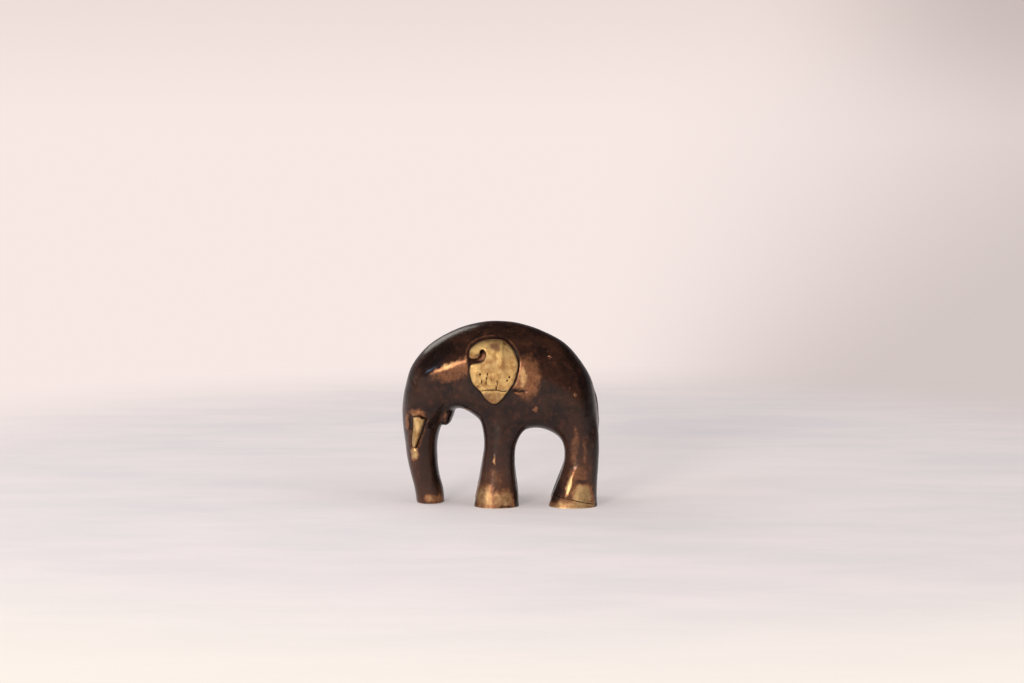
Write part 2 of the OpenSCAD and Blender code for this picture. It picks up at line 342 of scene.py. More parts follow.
def normals(obj):
    n = np.empty(len(obj.data.vertices) * 3)
    obj.data.vertex_normals.foreach_get("vector", n)
    return n.reshape(-1, 3)


def edges(obj):
    e = np.empty(len(obj.data.edges) * 2, int)
    obj.data.edges.foreach_get("vertices", e)
    return e.reshape(-1, 2)


def smoothed(values, pairs, rounds, weight):
    """values spread over the mesh's edges; weight is the share moved in each round."""
    n = len(values)
    degree = np.maximum(np.bincount(pairs.ravel(), minlength=n), 1)
    values = values.copy()
    for _ in range(rounds):
        total = np.zeros_like(values)
        for k in range(values.shape[1]):
            total[:, k] = (np.bincount(pairs[:, 0], values[pairs[:, 1], k], n)
                           + np.bincount(pairs[:, 1], values[pairs[:, 0], k], n))
        values += weight * (total / degree[:, None] - values)
    return values


def shade(obj, sharp_angle=0.9):
    """Smooth shading, with the edges above sharp_angle kept sharp."""
    bm = bmesh.new()
    bm.from_mesh(obj.data)
    for face in bm.faces:
        face.smooth = True
    for edge in bm.edges:
        edge.smooth = len(edge.link_faces) == 2 and edge.calc_face_angle() < sharp_angle
    bm.to_mesh(obj.data)
    bm.free()


def attribute(obj, name, values):
    layer = obj.data.attributes.new(name, "FLOAT", "POINT")
    layer.data.foreach_set("value", values.astype(np.float32))


# ---------------------------------------------------------------- distances


def to_segment(xz, a, b):
    """How far each point of the side view is from the line between a and b."""
    a, b = np.array(a, float), np.array(b, float)
    along = b - a
    t = np.clip((xz - a) @ along / max(along @ along, 1e-9), 0, 1)
    return np.linalg.norm(xz - a - t[:, None] * along, axis=1)


def to_outline(xz, loop):
    """Signed distance to a closed outline, negative inside."""
    best = np.full(len(xz), 1e9)
    inside = np.zeros(len(xz), bool)
    for a, b in zip(loop, np.roll(loop, -1, axis=0)):
        best = np.minimum(best, to_segment(xz, a, b))
        crosses = (a[1] > xz[:, 1]) != (b[1] > xz[:, 1])
        level = np.where(crosses, (xz[:, 1] - a[1]) / ((b[1] - a[1]) or 1e-12), 0)
        inside ^= crosses & (xz[:, 0] < a[0] + level * (b[0] - a[0]))
    return np.where(inside, -best, best)


def bell(distance, width):
    """1 at no distance, falling to almost nothing at twice the width."""
    return np.exp(-(distance / width) ** 2)


def smoothstep(low, high, x):
    t = np.clip((x - low) / (high - low), 0, 1)
    return t * t * (3 - 2 * t)


# ---------------------------------------------------------------- the casting

VOXEL = 0.353
SOFT_ROUNDS = 72
SOFTNESS = 0.1
CROTCH_SOFTNESS = 0.4

# Hand work: the lips beside the inlays, the dips beside the tail, and the waviness of the
# skin as (height, wave length) in millimetres.
EAR_LIP = 0.04
EAR_LIP_ON_TOP = 0.16
TUSK_LIP = 0.15
TAIL_DIP = 0.35
LONG_WAVES = (0.07, 5.5)
SHORT_WAVES = (0.025, 1.9)

# Low ridges (+) and grooves (-): start and end in the side view, height, width.
MARKS = [
    ((-22.2, 40), (-10.2, 44.6), 0.62, 2.6),
    ((-17, 36.5), (-12, 37.5), -0.3, 3.4),
    ((-20.6, 24.2), (-16.4, 31), -0.4, 1.1),
    ((7.2, 44), (7.4, 37.6), 0.22, 1.8),
    ((4.2, 35.9), (7.6, 35.5), -0.3, 0.4),
    ((-26, 28.6), (-23.6, 28.2), 0.12, 1.0),
    ((-26.2, 16.4), (-26, 14.8), 0.35, 0.9),
    ((-27.2, 27.4), (-27.1, 23.6), -0.45, 0.45),
    ((-28.2, 27.6), (-28.1, 23.6), 0.2, 0.5),
    ((-22.4, 26.4), (-25.4, 17.8), -0.55, 0.5),
    ((-26.9, 38.6), (-25.9, 36.9), -0.12, 0.35),
    ((21.9, 10.5), (19.6, 3), 0.32, 1.1),
    ((-2.1, 15.8), (-1.9, 13.4), 0.12, 0.4),
    ((-10.9, 29.6), (-9.9, 29.2), 0.35, 0.5),
    ((10.2, 29.9), (10.6, 29), -0.15, 0.35),
]


def shells():
    yield loft([body_ring(s) for s in open_curve(BODY, 12)])
    for side in (-1, 1):
        for sections in (FRONT_LEG, REAR_LEG):
            yield loft([leg_ring(s, side) for s in open_curve(sections, 10)])
    yield loft([tail_ring(s) for s in open_curve(TAIL, 8)])
    yield loft([lip_ring(s) for s in lip_sections()])


def raw_casting():
    """All shells joined, remeshed into one skin and softened where legs meet the body."""
    verts, faces, base = [], [], 0
    for v, f in shells():
        verts.append(v)
        faces += [tuple(i + base for i in face) for face in f]
        base += len(v)
    obj = new_object("casting", np.vstack(verts), faces)
    remesh = obj.modifiers.new("remesh", "REMESH")
    remesh.mode = "VOXEL"
    remesh.voxel_size = VOXEL * MM
    apply_modifiers(obj)
    co = coordinates(obj)
    crotch = smoothstep(15, 21, co[:, 2]) * (1 - smoothstep(30, 37, co[:, 2]))
    crotch *= smoothstep(-15, -9, co[:, 0])
    tail = bell(co[:, 1], 3.5) * smoothstep(25.5, 27.5, co[:, 0])
    weight = (SOFTNESS + CROTCH_SOFTNESS * crotch) * (1 - 0.9 * tail)
    co = smoothed(co, edges(obj), SOFT_ROUNDS, weight[:, None])
    set_coordinates(obj, co)
    return obj


def hand_finish(obj):
    """The marks, the lips round the inlays and the slight waviness of hand work."""
    co, n = coordinates(obj), normals(obj)
    xz = co[:, [0, 2]]
    flank = smoothstep(0.25, 0.7, np.abs(n[:, 1]))
    lift = np.zeros(len(co))
    for a, b, height, width in MARKS:
        lift += height * bell(to_segment(xz, a, b), width) * flank
    rump = smoothstep(24, 27, co[:, 0]) * smoothstep(17, 20, xz[:, 1])
    rump *= 1 - smoothstep(35, 38, xz[:, 1])
    lift -= TAIL_DIP * rump * bell(np.abs(co[:, 1]) - 2.0, 0.5)
    ear = to_outline(xz, even_loop(EAR_OUTLINE, 0.5))
    ear_lip = EAR_LIP + EAR_LIP_ON_TOP * smoothstep(45, 49, xz[:, 1])
    lift += ear_lip * bell(ear - 0.95, 0.4) * flank
    tusk = to_outline(xz, even_loop(TUSK_OUTLINE, 0.5))
    lift += TUSK_LIP * bell(tusk - 0.8, 0.5) * flank
    for k, p in enumerate(co):
        at = Vector(p)
        lift[k] += (LONG_WAVES[0] * noise.noise(at / LONG_WAVES[1])
                    + SHORT_WAVES[0] * noise.noise(at / SHORT_WAVES[1] + Vector((7, 3, 1))))
    set_coordinates(obj, co + n * lift[:, None])


def box_tool(low, high, tilt=0.0, pivot=(0, 0, 0)):
    corners = [(x, y, z) for x in (low[0], high[0]) for y in (low[1], high[1])
               for z in (low[2], high[2])]
    faces = [(0, 1, 3, 2), (4, 6, 7, 5), (0, 4, 5, 1), (2, 3, 7, 6), (0, 2, 6, 4), (1, 5, 7, 3)]
    c, s = math.cos(tilt), math.sin(tilt)
    turned = [(pivot[0] + x * c + z * s, y, pivot[2] - x * s + z * c) for x, y, z in corners]
    return new_object("tool", turned, faces)


def cylinder_tool(x, y, z0, z1, radius, sides=64):
    rings = [ring(np.array((x, y, z)), np.array((radius, 0, 0)), np.array((0, radius, 0)),
                  2, 2, sides) for z in (z0, z1)]
    return new_object("tool", *loft(rings))


class Flank:
    """Finds where the casting's skin is, seen from one side."""

    def __init__(self, obj):
        graph = bpy.context.evaluated_depsgraph_get()
        self.tree = BVHTree.FromObject(obj, graph)

    def at(self, x, z, side):
        hit = self.tree.ray_cast(Vector((x, side * 40, z)) * MM, Vector((0, -side, 0)))[0]
        return abs(hit.y) / MM if hit else 0.0


# ---------------------------------------------------------------- seats and inlays

# Rows of points at these distances from an inlay's edge carry its rounding.
EDGE_ROWS = (0.04, 0.12, 0.24, 0.4, 0.6)
EAR_SEAM = 35.65
FRONT_GROOVE = 0.16
REAR_GROOVE = 0.5
PIT_DEPTH = 0.22
PIT_SPREAD = 0.035


def triangulated(loop, inside):
    """Triangles of a flat outline that also use the points inside it."""
    points = [Vector(p) for p in loop] + [Vector(p) for p in inside]
    face = [list(range(len(loop)))]
    verts, _, faces, *_ = delaunay_2d_cdt(points, [], face, 1, 1e-7)
    return np.array([tuple(v) for v in verts]), [tuple(f) for f in faces]


def outward_steps(loop):
    """Unit vectors that point out of a closed outline at each of its points."""
    step = np.roll(loop, -1, axis=0) - np.roll(loop, 1, axis=0)
    outward = np.stack([step[:, 1], -step[:, 0]], axis=1)
    outward /= np.linalg.norm(outward, axis=1)[:, None]
    if (to_outline(loop + 0.01 * outward, loop) < 0).mean() > 0.5:
        outward = -outward
    return outward


def inner_points(loop, insets, spacing, extra=()):
    """Rows of points along the edge of an outline and a grid over the rest of it."""
    outward = outward_steps(loop)
    rows = []
    for inset in insets:
        row = loop - inset * outward
        rows.append(row[np.abs(to_outline(row, loop) + inset) < 0.02])
    low, high = loop.min(0), loop.max(0)
    grid = np.stack(np.meshgrid(np.arange(low[0], high[0], spacing),
                                np.arange(low[1], high[1], spacing)), -1).reshape(-1, 2)
    grid[::2] += 0.013
    rows.append(grid[to_outline(grid, loop) < -(insets[-1] + 0.6 * spacing)])
    if len(extra):
        rows.append(np.array(extra))
    return np.vstack(rows)


def slab(name, loop, points, top, bottom, side):
    """A closed plate over an outline: top and bottom give half widths at (x, z, depth)."""
    flat, faces = triangulated(loop, points)
    depth = -to_outline(flat, loop)
    n = len(flat)
    upper = [(x, side * top(x, z, d), z) for (x, z), d in zip(flat, depth)]
    lower = [(x, side * bottom(x, z), z) for x, z in flat]
    count = {}
    for f in faces:
        for a, b in zip(f, f[1:] + f[:1]):
            count[frozenset((a, b))] = count.get(frozenset((a, b)), 0) + 1
    rim = [(a, b) for f in faces for a, b in zip(f, f[1:] + f[:1])
           if count[frozenset((a, b))] == 1]
    walls = [(b, a, a + n, b + n) for a, b in rim]
    under = [tuple(i + n for i in reversed(f)) for f in faces]
    obj = new_object(name, upper + lower, list(faces) + under + walls)
    at_seam = 0.2 * bell(flat[:, 1] - EAR_SEAM, 0.5)
    attribute(obj, "rim", np.concatenate([depth + at_seam, np.zeros(n)]))
    return obj


def seat_tool(flank, outline, depth, side):
    """A cutter for a recess whose groove round the inlay is widest towards the rear."""
    loop = even_loop(outline, 0.3)
    rearward = (loop[:, :1] - loop[:, 0].mean()) / np.ptp(loop[:, 0]) * 2
    groove = FRONT_GROOVE + (REAR_GROOVE - FRONT_GROOVE) * smoothstep(-0.3, 0.8, rearward)
    wide = loop + groove * outward_steps(loop)
    points = inner_points(wide, (0.6,), 0.7)
    return slab("tool", wide, points, lambda x, z, d: 20.0,
                lambda x, z: flank.at(x, z, side) - depth, side)


def inlay(name, flank, outline, relief, edge, depth, side, pits=()):
    """A plate let into the flank, standing proud by relief with an edge rounded by edge."""
    loop = even_loop(outline, 0.16)
    around = [(x + r * math.cos(a), z + r * math.sin(a)) for x, z in pits
              for r in (0.0001, 0.12, 0.22, 0.34) for a in np.linspace(0, 5.5, 8)]
    points = inner_points(loop, EDGE_ROWS, 0.33, around)

    def top(x, z, d):
        r = edge * (1 - 0.75 * math.exp(-((z - EAR_SEAM) / 0.6) ** 2))
        fall = r - min(max(d, 0), r)
        rise = relief(x, z) - r + math.sqrt(max(r * r - fall * fall, 0))
        pit = sum(PIT_DEPTH * math.exp(-((x - a) ** 2 + (z - b) ** 2) / PIT_SPREAD)
                  for a, b in pits)
        return flank.at(x, z, side) + rise - pit

    obj = slab(name, loop, points, top, lambda x, z: flank.at(x, z, side) - depth, side)
    shade(obj)
    return obj


# ---------------------------------------------------------------- pieces

# An inlay ends a little above the floor of its seat.
EAR_SEAT = 1.1
EAR_DEPTH = 1.08
TUSK_SEAT = 0.8
TUSK_DEPTH = 0.7
SEAM_POINT = (17.9, 3.4)
SEAM_SLOPE = math.radians(12.8)
SEAM_GAP = 0.24
TRUNK_GAP = 0.2
PLUG_HOLE_TOP = 2.6
TRUNK_HOLE_TOP = 1.6
FOOT_PLUGS = [(-0.8, 7.2), (-0.8, -7.2)]
FOOT_HOLE_R = 2.58
TRUNK_PLUG = (-21.5, 0)
TRUNK_HOLE_R = 1.62
CORE_PINS = [(14.8, 45.5), (22.3, 34.3), (10.5, 29.6)]
CORE_PIN_R = 0.6
# A pin's rings: height over the skin, share of its radius.
PIN_RINGS = [(-1.5, 1), (0.02, 1), (0.07, 0.85), (0.1, 0.5)]
EAR_PITS = [(-6.1, 40.55), (1.95, 38.7), (2.65, 39.75), (-0.75, 38.4), (-1.3, 36.25)]
LOBE_PITS = [(-2.2, 32.9)]
TUSK_PITS = [(-24.4, 26.6)]


def ear_relief(x, z):
    """An ear stands highest in its middle and dips along its upper rear edge."""
    crown = 0.12 * (1 - ((x + 2) / 8) ** 2 - ((z - 42) / 10) ** 2)
    front_roll = 0.1 * math.exp(-((x + 7.6) / 1.6) ** 2)
    fold = 0.1 * math.exp(-((x - 0.2) / 0.9) ** 2)
    if z < 44:
        fold *= math.exp(-((z - 44) / 3) ** 2)
    return 0.74 + crown + front_roll + fold + 0.4 * smoothstep(43, 50.5, z)


def lobe_relief(x, z):
    """The lobe is flatter towards its front edge, which is filed to a slope."""
    return 0.66 + 0.16 * min(max((x + 4.2) / 2.5, -1), 0.4)


def tusk_relief(x, z):
    """A tusk is thickest at its root and rolls over along its middle."""
    along = (z - 17.5) / 9.8
    middle = -26.3 + 2 * along
    return 0.6 + 0.55 * along + 0.35 * math.exp(-((x - middle) / 0.9) ** 2)


def make_piece(obj, name, slot, *replaced):
    obj.name = name
    obj.data.name = name
    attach(obj, ROOT)
    if replaced:
        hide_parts(*replaced)
    return obj


def seam_tool(drop, low=-12.0):
    """A wedge that fills the space under the seam of the rear soles."""
    x, z = SEAM_POINT
    return box_tool((-7, -20, low), (14, 20, 0), SEAM_SLOPE, (x, 0, z - drop))


def side_of(obj, side):
    """Keeps the half of obj on one side of the middle plane."""
    low, high = (-20, 0) if side < 0 else (0, 20)
    boolean(obj, box_tool((-40, low, -10), (40, high, 70)), "INTERSECT")


def build_casting():
    casting = raw_casting()
    hand_finish(casting)
    boolean(casting, box_tool((-40, -20, -12), (40, 20, 0)))
    boolean(casting, box_tool((-40, -20, -12), (-12, 20, TRUNK_GAP)))
    flank = Flank(casting)

    soles = []
    for side in (-1, 1):
        sole = copy_of(casting, "sole")
        boolean(sole, seam_tool(SEAM_GAP), "INTERSECT")
        side_of(sole, side)
        soles.append(sole)

    boolean(casting, seam_tool(0))
    for x, y in FOOT_PLUGS:
        boolean(casting, cylinder_tool(x, y, -1, PLUG_HOLE_TOP, FOOT_HOLE_R))
    boolean(casting, cylinder_tool(*TRUNK_PLUG, -1, TRUNK_HOLE_TOP, TRUNK_HOLE_R))
    for side in (-1, 1):
        boolean(casting, seat_tool(flank, EAR_OUTLINE, EAR_SEAT, side))
        boolean(casting, seat_tool(flank, TUSK_OUTLINE, TUSK_SEAT, side))
    return casting, soles, flank


def pin_heads(flank):
    """Short rods, domed and filed almost flush, one per core pin on each side."""
    verts, faces = [], []
    for x, z in CORE_PINS:
        for side in (-1, 1):
            y = flank.at(x, z, side)
            rings = [ring(np.array((x, side * (y + rise), z)),
                          np.array((share * CORE_PIN_R, 0, 0)),
                          np.array((0, 0, share * CORE_PIN_R)), 2, 2, 32)
                     for rise, share in PIN_RINGS]
            v, f = loft(rings)
            faces += [tuple(i + sum(map(len, verts)) for i in face) for face in f]
            verts.append(v)
    obj = new_object("pins", np.vstack(verts), faces)
    shade(obj, 0.8)
    return obj


# Places where the patina has worn through, and some painted highlights: x, z, half sizes, tilt,
# strength.
# Strengths near 0.5 show red copper tones, those near 1 show clean brass.
WORN_AND_HIGHLIGHTS = [
    (6.9, 39.7, 1.7, 4.9, 0, 0.70), (8.0, 39.4, 4.6, 7.6, 0, 0.5), (4.6, 37.4, 1.6, 1.8, 0, 0.5),
    (-15.4, 42.9, 6.8, 1.3, 22, 0.6), (-14.5, 41.2, 7.2, 3.8, 18, 0.4),
    (-10.8, 42.2, 1.7, 2.8, 0, 0.46), (-25.0, 28.2, 3.0, 1.9, -4, 0.48),
    (-26.1, 15.5, 1.5, 2.5, 6, 0.72), (-28.2, 25.3, 0.8, 3.2, 0, 0.42),
    (-24.3, 21.5, 0.6, 5.0, -16, 0.3), (-17.0, 28.2, 0.9, 2.8, 0, 0.34),
    (-20.3, 1.7, 3.6, 1.7, 0, 0.62), (-24.4, 9.6, 1.0, 3.4, -8, 0.3),
    (-10.4, 29.5, 1.3, 0.6, 0, 0.45), (-4.6, 3.4, 4.0, 4.6, 0, 0.66),
    (1.4, 2.6, 3.2, 3.8, 0, 0.66), (-1.2, 3.2, 2.0, 2.8, 0, 0.62), (-2.0, 8.0, 4.0, 5.0, 0, 0.25),
    # The thin line at x -2 on the front leg is a painted highlight.
    (-2.0, 14.6, 0.35, 1.9, 0, 0.62), (24.4, 4.0, 4.0, 4.4, 0, 0.80),
    # The streak at x 20.5 on the rear foot is a painted highlight.
    (20.5, 6.9, 0.9, 3.9, -14, 0.9), (23.2, 9.6, 3.4, 4.0, 0, 0.40),
    (22.2, 17.5, 1.5, 9.5, -3, 0.31), (25.2, 16.6, 0.9, 5.0, 0, 0.28),
    # The spot at x 5.6 below the crease behind the ear is a painted highlight.
    (5.6, 35.0, 1.9, 0.5, -4, 0.56), (10.4, 29.9, 1.0, 1.1, 0, 0.5),
    (14.7, 45.6, 0.6, 0.6, 0, 0.34), (22.2, 34.3, 0.6, 0.6, 0, 0.34),
    (23.9, 33.8, 0.4, 0.4, 0, 0.5), (20.7, 36.5, 0.4, 0.4, 0, 0.45),
    (-25.6, 39.2, 0.9, 0.9, 0, 0.22), (-5.8, 45.6, 2.2, 1.4, 25, 0.42),
]

# Places darkened to near black, with thick patina in some and painted shade in others: where the
# skin turns away from the light, under the cheek, along the arches, in creases and along the top.
# The same columns.
DARK_PATINA_AND_SHADE = [
    (5.2, 3.0, 1.3, 6.5, 4, 1.0), (29.2, 5.0, 1.1, 9.0, 0, 0.9), (16.6, 4.6, 1.6, 3.8, -18, 0.75),
    (-1.8, 5.2, 1.2, 0.8, 0, 0.15), (24.2, 8.0, 1.7, 0.9, 0, 0.3), (-7.9, 2.6, 0.6, 3.5, 8, 0.4),
    (-27.2, 25.0, 0.4, 2.2, 0, 0.9), (5.2, 35.75, 1.9, 0.2, -4, 0.8),
    (1.4, 0.5, 2.4, 0.3, 0, 0.5), (22.5, 45.5, 9.0, 3.4, -50, 0.7),
    (27.0, 33.0, 3.6, 13.0, 6, 0.9), (28.8, 14.0, 1.5, 11.0, 0, 0.8),
    (-19.4, 13.0, 2.0, 10.0, -3, 1.0), (-22.4, 13.0, 2.6, 9.0, -4, 0.3),
    (-19.6, 26.6, 1.3, 5.0, -32, 0.8), (-11.5, 31.0, 5.0, 1.4, 0, 0.5),
    (9.0, 25.6, 6.0, 1.4, 0, 0.45), (3.6, 13.5, 1.4, 9.0, 2, 0.75),
    (-18.8, 45.8, 7.5, 2.8, 38, 0.85), (6.0, 52.6, 13.0, 2.2, -6, 0.35),
    (-27.8, 37.0, 1.6, 7.0, -12, 0.5),
]


def in_spots(xz, marks):
    """How strongly each point of the side view lies in the soft ellipses of marks."""
    total = np.zeros(len(xz))
    for x, z, rx, rz, tilt, strength in marks:
        c, s = math.cos(math.radians(tilt)), math.sin(math.radians(tilt))
        dx, dz = xz[:, 0] - x, xz[:, 1] - z
        away = np.hypot((dx * c + dz * s) / rx, (dz * c - dx * s) / rz)
        total = np.maximum(total, strength * (1 - smoothstep(0.4, 1.3, away)))
    return total


def wear_and_painted_light_attributes(obj):
    """How far the patina has worn off at each point, 0 to about 1, plus painted highlights, less
    painted shade.
    """
    co = coordinates(obj)
    x, y, z = co.T
    wobble = np.array([noise.noise_vector(Vector(p) / 1.3) for p in co])[:, [0, 2]]
    rough = co[:, [0, 2]] + 0.6 * wobble
    feet = 0.55 * (1 - smoothstep(0.8, 5.5, z)) * smoothstep(-14, -11, x)
    trunk = 0.14 * smoothstep(17, 21, -x) * (1 - smoothstep(20, 33, z))
    legs = 0.14 * (1 - smoothstep(8, 21, z))
    tail = smoothstep(26.4, 27.2, x) * (1 - smoothstep(0.2, 1.5, np.abs(y + 0.5 * wobble[:, 0])))
    tail *= smoothstep(13.5, 16, z) * (1 - smoothstep(18, 36, z))
    worn = np.maximum.reduce([in_spots(rough, WORN_AND_HIGHLIGHTS), feet, trunk, legs, 0.44 * tail])

    # what stands proud of its surroundings is rubbed first
    around = smoothed(co, edges(obj), 12, 0.5)
    proud = ((co - around) * normals(obj)).sum(1)
    worn += 1.1 * smoothed(proud[:, None], edges(obj), 2, 0.5)[:, 0]

    # the lip over the ear is rubbed and the edge of its seat stays dark
    ear = np.where(np.abs(y) > 6, to_outline(co[:, [0, 2]], even_loop(EAR_OUTLINE, 0.4)), 9)
    worn += 0.22 * bell(ear - 1.0, 0.35) * smoothstep(42, 48, z) - 0.8 * bell(ear - 0.1, 0.35)
    # Painted shade and thick black patina, taken off the wear and kept as a second attribute.
    deep = in_spots(rough, DARK_PATINA_AND_SHADE) * (1 - 0.9 * tail)
    attribute(obj, "worn", worn - deep)
    attribute(obj, "deep", deep)


casting, soles, flank = build_casting()
shade(casting)
wear_and_painted_light_attributes(casting)
body = make_piece(casting, "body_skin", "dark_patina", "body_casting")

for sole, side_name in zip(soles, ("left", "right")):
    shade(sole)
    wear_and_painted_light_attributes(sole)
    make_piece(sole, f"{side_name}_rear_sole", "worn_brass", f"rear_{side_name}_sole")

inlays = []
for side, side_name in ((-1, "left"), (1, "right")):
    for part, outline, relief, edge, depth, slot, pits in (
        ("ear", EAR_PLATE, ear_relief, 0.5, EAR_DEPTH, "polished_brass", EAR_PITS),
        ("ear_lobe", EAR_LOBE, lobe_relief, 0.5, EAR_DEPTH, "polished_brass", LOBE_PITS),
        ("tusk", TUSK_OUTLINE, tusk_relief, 0.85, TUSK_DEPTH, "pale_brass", TUSK_PITS),
    ):
        plate = inlay("plate", flank, outline, relief, edge, depth, side, pits)
        make_piece(plate, f"{side_name}_{part}_inlay", slot, f"{side_name}_{part}")
        inlays.append((part, plate))

pins = make_piece(pin_heads(flank), "core_pin_heads", "copper_pins", "core_pins")

# ---------------------------------------------------------------- materials

# Colours are linear; a pair holds the darker and the lighter tone of a material.
PATINA = ((0.013, 0.0062, 0.0048), (0.034, 0.0138, 0.0082))
PATINA_WITH_FLOOR_SHEEN = (0.062, 0.0285, 0.019)
PATINA_RED = (0.085, 0.030, 0.0155)
BLACK_PATINA_AND_SHADE = (0.0045, 0.0028, 0.0024)
TARNISH = (0.035, 0.015, 0.01)
COPPER = ((0.155, 0.056, 0.026), (0.36, 0.16, 0.074))
BRASS = ((0.50, 0.30, 0.125), (0.78, 0.55, 0.27))
EAR_BRASS = ((0.385, 0.208, 0.077), (0.63, 0.44, 0.185))
TUSK_BRASS = ((0.50, 0.30, 0.12), (0.74, 0.53, 0.25))
PIN_COPPER = ((0.07, 0.03, 0.02), (0.26, 0.13, 0.075))
PLUG_BRASS = ((0.16, 0.085, 0.045), (0.6, 0.4, 0.18))
INLAY_STAIN = (0.15, 0.062, 0.032)
INLAY_SCRATCH = (0.02, 0.011, 0.008)
CLAY = ((0.16, 0.082, 0.05), (0.31, 0.19, 0.12))
SOOT = (0.03, 0.026, 0.024)


class Nodes:
    """Adds nodes to a tree. Each call gives an output that the next call can take."""

    def __init__(self, tree):
        self.tree = tree

    def add(self, kind, inputs=(), **settings):
        node = self.tree.nodes.new("ShaderNode" + kind)
        for name, value in settings.items():
            setattr(node, name, value)
        for key, value in dict(inputs).items():
            self.put(node.inputs[key], value)
        return node

    def put(self, socket, value):
        if isinstance(value, bpy.types.NodeSocket):
            self.tree.links.new(value, socket)
        else:
            socket.default_value = value

    def math(self, operation, *values, clamp=False):
        return self.add("Math", enumerate(values), operation=operation, use_clamp=clamp).outputs[0]

    def mix(self, factor, a, b):
        """Colour a, turning into colour b as factor goes from 0 to 1."""
        a, b = ((*c, 1) if isinstance(c, tuple) else c for c in (a, b))
        return self.add("Mix", {0: factor, 6: a, 7: b}, data_type="RGBA").outputs[2]

    def fade(self, value, start, end, low=0.0, high=1.0):
        """low where value is start, high where it is end, smooth between them."""
        return self.add("MapRange", {"Value": value, "From Min": start, "From Max": end,
                                     "To Min": low, "To Max": high},
                        interpolation_type="SMOOTHSTEP").outputs[0]

    def noise(self, at, scale, detail=3, roughness=0.55, output=0):
        return self.add("TexNoise", {"Vector": at, "Scale": scale, "Detail": detail,
                                     "Roughness": roughness}).outputs[output]

    def placed(self, at, centre=(0, 0, 0), size=(1, 1, 1), tilt=0.0):
        """Coordinates measured from centre, in units of size, turned by tilt degrees about y."""
        return self.add("Mapping", {"Vector": at, "Location": centre, "Scale": size,
                                    "Rotation": (0, math.radians(-tilt), 0)},
                        vector_type="TEXTURE").outputs[0]

    def length(self, vector):
        return self.add("VectorMath", {0: vector}, operation="LENGTH").outputs["Value"]

    def spots(self, at, marks):
        """Soft ellipses: x, z, half length in x, half length in z, tilt, strength."""
        total = 0.0
        for x, z, rx, rz, tilt, strength in marks:
            away = self.length(self.placed(at, (x, 0, z), (rx, 1, rz), tilt))
            total = self.math("MAXIMUM", total, self.fade(away, 1.3, 0.4, 0, strength))
        return total

    def millimetres(self):
        """Object coordinates in millimetres."""
        where = self.add("TexCoord").outputs["Object"]
        return self.add("VectorMath", {0: where, "Scale": 1000}, operation="SCALE").outputs[0]

    def side_views(self, where):
        """The side view of where, and the same with a wobble that roughens outlines."""
        wobble = self.noise(where, 0.9, 4, 0.6, output="Color")
        wobble = self.add("VectorMath", {0: wobble, 1: (0.5, 0.5, 0.5)},
                          operation="SUBTRACT").outputs[0]
        wobble = self.add("VectorMath", {0: wobble, "Scale": 1.6}, operation="SCALE").outputs[0]
        rough = self.add("VectorMath", {0: where, 1: wobble}, operation="ADD").outputs[0]
        return [self.add("VectorMath", {0: v, 1: (1, 0, 1)}, operation="MULTIPLY").outputs[0]
                for v in (where, rough)]

    def split(self, vector):
        return self.add("SeparateXYZ", {0: vector}).outputs

    def bump(self, height, distance, strength=1.0, normal=None):
        inputs = {"Height": height, "Distance": distance * MM, "Strength": strength}
        if normal is not None:
            inputs["Normal"] = normal
        return self.add("Bump", inputs).outputs[0]


def material(name):
    made = bpy.data.materials.new(name)
    made.use_nodes = True
    return made, Nodes(made.node_tree), made.node_tree.nodes["Principled BSDF"]


